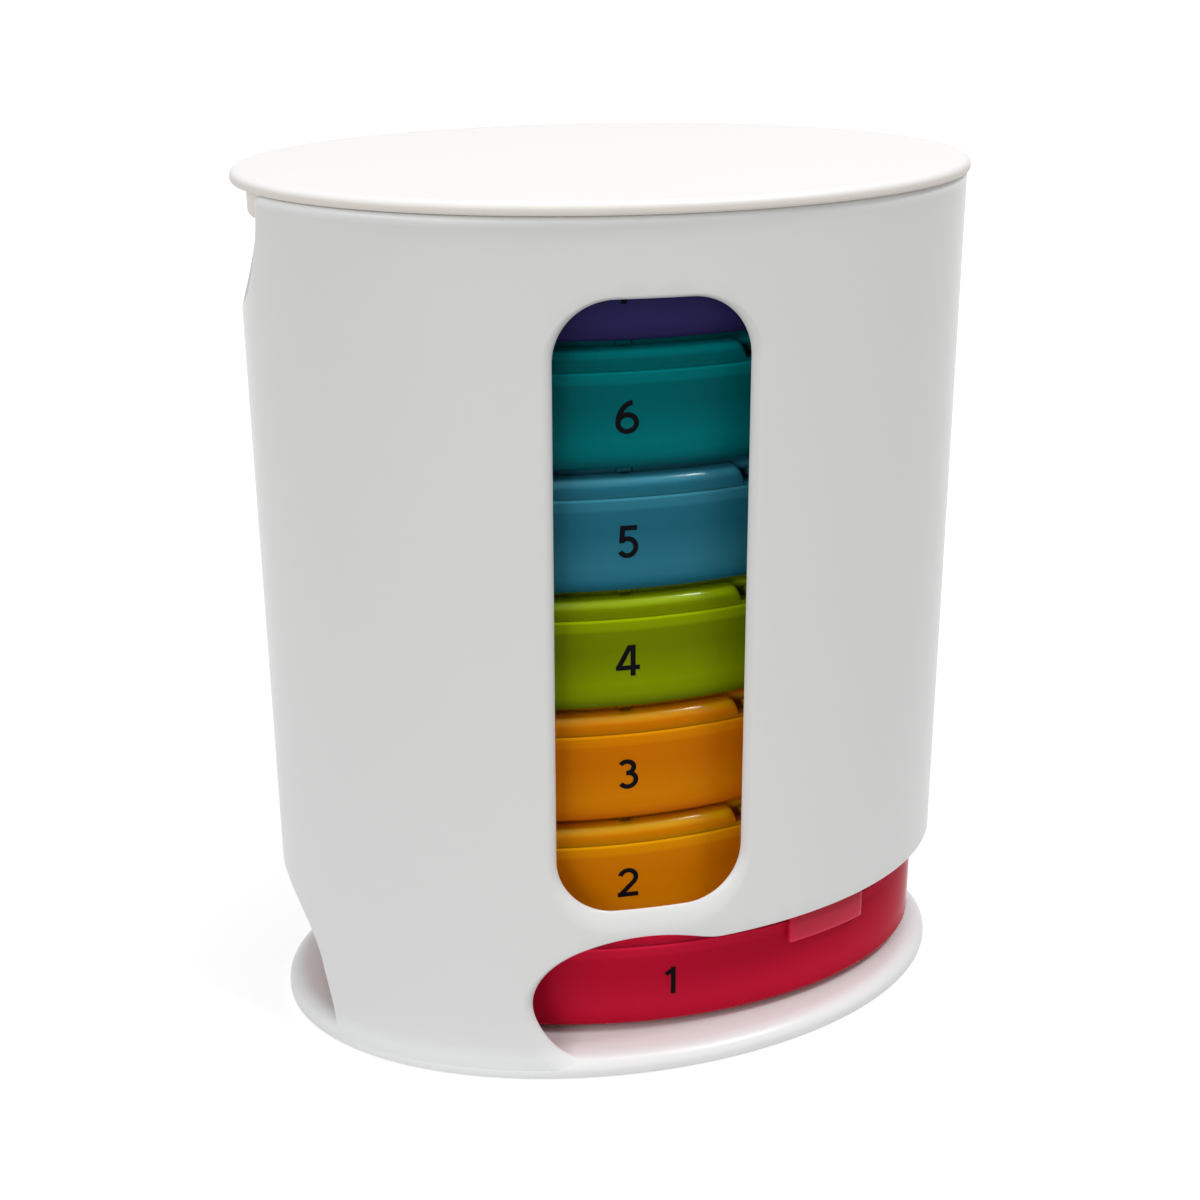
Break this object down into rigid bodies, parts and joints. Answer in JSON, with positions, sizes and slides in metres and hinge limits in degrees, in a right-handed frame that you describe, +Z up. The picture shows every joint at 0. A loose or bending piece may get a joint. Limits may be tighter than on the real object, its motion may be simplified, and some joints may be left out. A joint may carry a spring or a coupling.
{
  "type": "weekly pill tower",
  "caption": "Oval white tower with a front window that holds a stack of coloured day boxes, each with hinged flaps over its compartments; the lowest box slides out at the side.",
  "frame": {"origin": "centre of the underside of the foot rim", "axes": "+Z up the tower, +X along the long axis of the oval towards the exit opening, -Y towards the front window"},
  "size_m": [0.124, 0.079, 0.1546],
  "materials": {
    "white_shell": "glossy white injection-moulded plastic",
    "white_lid": "satin white injection-moulded plastic",
    "red_plastic": "translucent tinted polypropylene, glossy",
    "amber_plastic": "translucent tinted polypropylene, glossy",
    "orange_plastic": "translucent tinted polypropylene, glossy",
    "green_plastic": "translucent tinted polypropylene, glossy",
    "blue_plastic": "translucent tinted polypropylene, glossy",
    "teal_plastic": "translucent tinted polypropylene, glossy",
    "purple_plastic": "translucent tinted polypropylene, glossy"
  },
  "bodies": {
    "housing": {"housing": "white_shell"},
    "monday_box": {"monday_tray": "red_plastic", "monday_divider": "red_plastic", "monday_cover_frame": "red_plastic"},
    "monday_back_right_flap": {"monday_back_right_flap": "red_plastic"},
    "monday_back_left_flap": {"monday_back_left_flap": "red_plastic"},
    "monday_front_right_flap": {"monday_front_right_flap": "red_plastic"},
    "monday_front_left_flap": {"monday_front_left_flap": "red_plastic"},
    "tuesday_box": {"tuesday_tray": "amber_plastic", "tuesday_divider": "amber_plastic", "tuesday_cover_frame": "amber_plastic"},
    "tuesday_back_right_flap": {"tuesday_back_right_flap": "amber_plastic"},
    "tuesday_back_left_flap": {"tuesday_back_left_flap": "amber_plastic"},
    "tuesday_front_right_flap": {"tuesday_front_right_flap": "amber_plastic"},
    "tuesday_front_left_flap": {"tuesday_front_left_flap": "amber_plastic"},
    "wednesday_box": {"wednesday_tray": "orange_plastic", "wednesday_divider": "orange_plastic", "wednesday_cover_frame": "orange_plastic"},
    "wednesday_back_right_flap": {"wednesday_back_right_flap": "orange_plastic"},
    "wednesday_back_left_flap": {"wednesday_back_left_flap": "orange_plastic"},
    "wednesday_front_right_flap": {"wednesday_front_right_flap": "orange_plastic"},
    "wednesday_front_left_flap": {"wednesday_front_left_flap": "orange_plastic"},
    "thursday_box": {"thursday_tray": "green_plastic", "thursday_divider": "green_plastic", "thursday_cover_frame": "green_plastic"},
    "thursday_back_right_flap": {"thursday_back_right_flap": "green_plastic"},
    "thursday_back_left_flap": {"thursday_back_left_flap": "green_plastic"},
    "thursday_front_right_flap": {"thursday_front_right_flap": "green_plastic"},
    "thursday_front_left_flap": {"thursday_front_left_flap": "green_plastic"},
    "friday_box": {"friday_tray": "blue_plastic", "friday_divider": "blue_plastic", "friday_cover_frame": "blue_plastic"},
    "friday_back_right_flap": {"friday_back_right_flap": "blue_plastic"},
    "friday_back_left_flap": {"friday_back_left_flap": "blue_plastic"},
    "friday_front_right_flap": {"friday_front_right_flap": "blue_plastic"},
    "friday_front_left_flap": {"friday_front_left_flap": "blue_plastic"},
    "saturday_box": {"saturday_tray": "teal_plastic", "saturday_divider": "teal_plastic", "saturday_cover_frame": "teal_plastic"},
    "saturday_back_right_flap": {"saturday_back_right_flap": "teal_plastic"},
    "saturday_back_left_flap": {"saturday_back_left_flap": "teal_plastic"},
    "saturday_front_right_flap": {"saturday_front_right_flap": "teal_plastic"},
    "saturday_front_left_flap": {"saturday_front_left_flap": "teal_plastic"},
    "sunday_box": {"sunday_tray": "purple_plastic", "sunday_divider": "purple_plastic", "sunday_cover_frame": "purple_plastic"},
    "sunday_back_right_flap": {"sunday_back_right_flap": "purple_plastic"},
    "sunday_back_left_flap": {"sunday_back_left_flap": "purple_plastic"},
    "sunday_front_right_flap": {"sunday_front_right_flap": "purple_plastic"},
    "sunday_front_left_flap": {"sunday_front_left_flap": "purple_plastic"},
    "tower_lid": {"tower_lid": "white_lid"}
  },
  "joints": [
    {"name": "monday_slide", "type": "slide", "parent": "housing", "child": "monday_box", "axis": [1, 0, 0], "range_m": [-0.0075, 0.12]},
    {"name": "monday_back_right_flap_hinge", "type": "hinge", "parent": "monday_box", "child": "monday_back_right_flap", "pos_m": [0.0045, 0.003, 0.0225], "axis": [1, 0, 0], "range_deg": [0, 80]},
    {"name": "monday_back_left_flap_hinge", "type": "hinge", "parent": "monday_box", "child": "monday_back_left_flap", "pos_m": [0.0045, 0.003, 0.0225], "axis": [1, 0, 0], "range_deg": [0, 80]},
    {"name": "monday_front_right_flap_hinge", "type": "hinge", "parent": "monday_box", "child": "monday_front_right_flap", "pos_m": [0.0045, -0.003, 0.0225], "axis": [-1, 0, 0], "range_deg": [0, 80]},
    {"name": "monday_front_left_flap_hinge", "type": "hinge", "parent": "monday_box", "child": "monday_front_left_flap", "pos_m": [0.0045, -0.003, 0.0225], "axis": [-1, 0, 0], "range_deg": [0, 80]},
    {"name": "tuesday_lift", "type": "slide", "parent": "housing", "child": "tuesday_box", "axis": [0, 0, 1], "range_m": [0, 0.135]},
    {"name": "tuesday_back_right_flap_hinge", "type": "hinge", "parent": "tuesday_box", "child": "tuesday_back_right_flap", "pos_m": [-0.003, 0.003, 0.04355], "axis": [1, 0, 0], "range_deg": [0, 80]},
    {"name": "tuesday_back_left_flap_hinge", "type": "hinge", "parent": "tuesday_box", "child": "tuesday_back_left_flap", "pos_m": [-0.003, 0.003, 0.04355], "axis": [1, 0, 0], "range_deg": [0, 80]},
    {"name": "tuesday_front_right_flap_hinge", "type": "hinge", "parent": "tuesday_box", "child": "tuesday_front_right_flap", "pos_m": [-0.003, -0.003, 0.04355], "axis": [-1, 0, 0], "range_deg": [0, 80]},
    {"name": "tuesday_front_left_flap_hinge", "type": "hinge", "parent": "tuesday_box", "child": "tuesday_front_left_flap", "pos_m": [-0.003, -0.003, 0.04355], "axis": [-1, 0, 0], "range_deg": [0, 80]},
    {"name": "wednesday_lift", "type": "slide", "parent": "tuesday_box", "child": "wednesday_box", "axis": [0, 0, 1], "range_m": [0, 0.115]},
    {"name": "wednesday_back_right_flap_hinge", "type": "hinge", "parent": "wednesday_box", "child": "wednesday_back_right_flap", "pos_m": [-0.003, 0.003, 0.0646], "axis": [1, 0, 0], "range_deg": [0, 80]},
    {"name": "wednesday_back_left_flap_hinge", "type": "hinge", "parent": "wednesday_box", "child": "wednesday_back_left_flap", "pos_m": [-0.003, 0.003, 0.0646], "axis": [1, 0, 0], "range_deg": [0, 80]},
    {"name": "wednesday_front_right_flap_hinge", "type": "hinge", "parent": "wednesday_box", "child": "wednesday_front_right_flap", "pos_m": [-0.003, -0.003, 0.0646], "axis": [-1, 0, 0], "range_deg": [0, 80]},
    {"name": "wednesday_front_left_flap_hinge", "type": "hinge", "parent": "wednesday_box", "child": "wednesday_front_left_flap", "pos_m": [-0.003, -0.003, 0.0646], "axis": [-1, 0, 0], "range_deg": [0, 80]},
    {"name": "thursday_lift", "type": "slide", "parent": "wednesday_box", "child": "thursday_box", "axis": [0, 0, 1], "range_m": [0, 0.09]},
    {"name": "thursday_back_right_flap_hinge", "type": "hinge", "parent": "thursday_box", "child": "thursday_back_right_flap", "pos_m": [-0.003, 0.003, 0.08565], "axis": [1, 0, 0], "range_deg": [0, 80]},
    {"name": "thursday_back_left_flap_hinge", "type": "hinge", "parent": "thursday_box", "child": "thursday_back_left_flap", "pos_m": [-0.003, 0.003, 0.08565], "axis": [1, 0, 0], "range_deg": [0, 80]},
    {"name": "thursday_front_right_flap_hinge", "type": "hinge", "parent": "thursday_box", "child": "thursday_front_right_flap", "pos_m": [-0.003, -0.003, 0.08565], "axis": [-1, 0, 0], "range_deg": [0, 80]},
    {"name": "thursday_front_left_flap_hinge", "type": "hinge", "parent": "thursday_box", "child": "thursday_front_left_flap", "pos_m": [-0.003, -0.003, 0.08565], "axis": [-1, 0, 0], "range_deg": [0, 80]},
    {"name": "friday_lift", "type": "slide", "parent": "thursday_box", "child": "friday_box", "axis": [0, 0, 1], "range_m": [0, 0.07]},
    {"name": "friday_back_right_flap_hinge", "type": "hinge", "parent": "friday_box", "child": "friday_back_right_flap", "pos_m": [-0.003, 0.003, 0.1067], "axis": [1, 0, 0], "range_deg": [0, 80]},
    {"name": "friday_back_left_flap_hinge", "type": "hinge", "parent": "friday_box", "child": "friday_back_left_flap", "pos_m": [-0.003, 0.003, 0.1067], "axis": [1, 0, 0], "range_deg": [0, 80]},
    {"name": "friday_front_right_flap_hinge", "type": "hinge", "parent": "friday_box", "child": "friday_front_right_flap", "pos_m": [-0.003, -0.003, 0.1067], "axis": [-1, 0, 0], "range_deg": [0, 80]},
    {"name": "friday_front_left_flap_hinge", "type": "hinge", "parent": "friday_box", "child": "friday_front_left_flap", "pos_m": [-0.003, -0.003, 0.1067], "axis": [-1, 0, 0], "range_deg": [0, 80]},
    {"name": "saturday_lift", "type": "slide", "parent": "friday_box", "child": "saturday_box", "axis": [0, 0, 1], "range_m": [0, 0.06]},
    {"name": "saturday_back_right_flap_hinge", "type": "hinge", "parent": "saturday_box", "child": "saturday_back_right_flap", "pos_m": [-0.003, 0.003, 0.12775], "axis": [1, 0, 0], "range_deg": [0, 80]},
    {"name": "saturday_back_left_flap_hinge", "type": "hinge", "parent": "saturday_box", "child": "saturday_back_left_flap", "pos_m": [-0.003, 0.003, 0.12775], "axis": [1, 0, 0], "range_deg": [0, 80]},
    {"name": "saturday_front_right_flap_hinge", "type": "hinge", "parent": "saturday_box", "child": "saturday_front_right_flap", "pos_m": [-0.003, -0.003, 0.12775], "axis": [-1, 0, 0], "range_deg": [0, 80]},
    {"name": "saturday_front_left_flap_hinge", "type": "hinge", "parent": "saturday_box", "child": "saturday_front_left_flap", "pos_m": [-0.003, -0.003, 0.12775], "axis": [-1, 0, 0], "range_deg": [0, 80]},
    {"name": "sunday_lift", "type": "slide", "parent": "saturday_box", "child": "sunday_box", "axis": [0, 0, 1], "range_m": [0, 0.05]},
    {"name": "sunday_back_right_flap_hinge", "type": "hinge", "parent": "sunday_box", "child": "sunday_back_right_flap", "pos_m": [-0.003, 0.003, 0.1488], "axis": [1, 0, 0], "range_deg": [0, 80]},
    {"name": "sunday_back_left_flap_hinge", "type": "hinge", "parent": "sunday_box", "child": "sunday_back_left_flap", "pos_m": [-0.003, 0.003, 0.1488], "axis": [1, 0, 0], "range_deg": [0, 80]},
    {"name": "sunday_front_right_flap_hinge", "type": "hinge", "parent": "sunday_box", "child": "sunday_front_right_flap", "pos_m": [-0.003, -0.003, 0.1488], "axis": [-1, 0, 0], "range_deg": [0, 80]},
    {"name": "sunday_front_left_flap_hinge", "type": "hinge", "parent": "sunday_box", "child": "sunday_front_left_flap", "pos_m": [-0.003, -0.003, 0.1488], "axis": [-1, 0, 0], "range_deg": [0, 80]},
    {"name": "tower_lid_lift", "type": "slide", "parent": "sunday_box", "child": "tower_lid", "axis": [0, 0, 1], "range_m": [0, 0.08]}
  ],
  "couplings": [
    {"joint": "monday_back_right_flap_hinge", "follows": "tuesday_lift", "rad_per_m": 10.343},
    {"joint": "monday_back_left_flap_hinge", "follows": "tuesday_lift", "rad_per_m": 10.343},
    {"joint": "monday_front_right_flap_hinge", "follows": "tuesday_lift", "rad_per_m": 10.343},
    {"joint": "monday_front_left_flap_hinge", "follows": "tuesday_lift", "rad_per_m": 10.343},
    {"joint": "tuesday_back_right_flap_hinge", "follows": "wednesday_lift", "rad_per_m": 12.141},
    {"joint": "tuesday_back_left_flap_hinge", "follows": "wednesday_lift", "rad_per_m": 12.141},
    {"joint": "tuesday_front_right_flap_hinge", "follows": "wednesday_lift", "rad_per_m": 12.141},
    {"joint": "tuesday_front_left_flap_hinge", "follows": "wednesday_lift", "rad_per_m": 12.141},
    {"joint": "wednesday_back_right_flap_hinge", "follows": "thursday_lift", "rad_per_m": 15.514},
    {"joint": "wednesday_back_left_flap_hinge", "follows": "thursday_lift", "rad_per_m": 15.514},
    {"joint": "wednesday_front_right_flap_hinge", "follows": "thursday_lift", "rad_per_m": 15.514},
    {"joint": "wednesday_front_left_flap_hinge", "follows": "thursday_lift", "rad_per_m": 15.514},
    {"joint": "thursday_back_right_flap_hinge", "follows": "friday_lift", "rad_per_m": 19.947},
    {"joint": "thursday_back_left_flap_hinge", "follows": "friday_lift", "rad_per_m": 19.947},
    {"joint": "thursday_front_right_flap_hinge", "follows": "friday_lift", "rad_per_m": 19.947},
    {"joint": "thursday_front_left_flap_hinge", "follows": "friday_lift", "rad_per_m": 19.947},
    {"joint": "friday_back_right_flap_hinge", "follows": "saturday_lift", "rad_per_m": 23.271},
    {"joint": "friday_back_left_flap_hinge", "follows": "saturday_lift", "rad_per_m": 23.271},
    {"joint": "friday_front_right_flap_hinge", "follows": "saturday_lift", "rad_per_m": 23.271},
    {"joint": "friday_front_left_flap_hinge", "follows": "saturday_lift", "rad_per_m": 23.271},
    {"joint": "saturday_back_right_flap_hinge", "follows": "sunday_lift", "rad_per_m": 27.925},
    {"joint": "saturday_back_left_flap_hinge", "follows": "sunday_lift", "rad_per_m": 27.925},
    {"joint": "saturday_front_right_flap_hinge", "follows": "sunday_lift", "rad_per_m": 27.925},
    {"joint": "saturday_front_left_flap_hinge", "follows": "sunday_lift", "rad_per_m": 27.925},
    {"joint": "sunday_back_right_flap_hinge", "follows": "tower_lid_lift", "rad_per_m": 17.453},
    {"joint": "sunday_back_left_flap_hinge", "follows": "tower_lid_lift", "rad_per_m": 17.453},
    {"joint": "sunday_front_right_flap_hinge", "follows": "tower_lid_lift", "rad_per_m": 17.453},
    {"joint": "sunday_front_left_flap_hinge", "follows": "tower_lid_lift", "rad_per_m": 17.453}
  ]
}
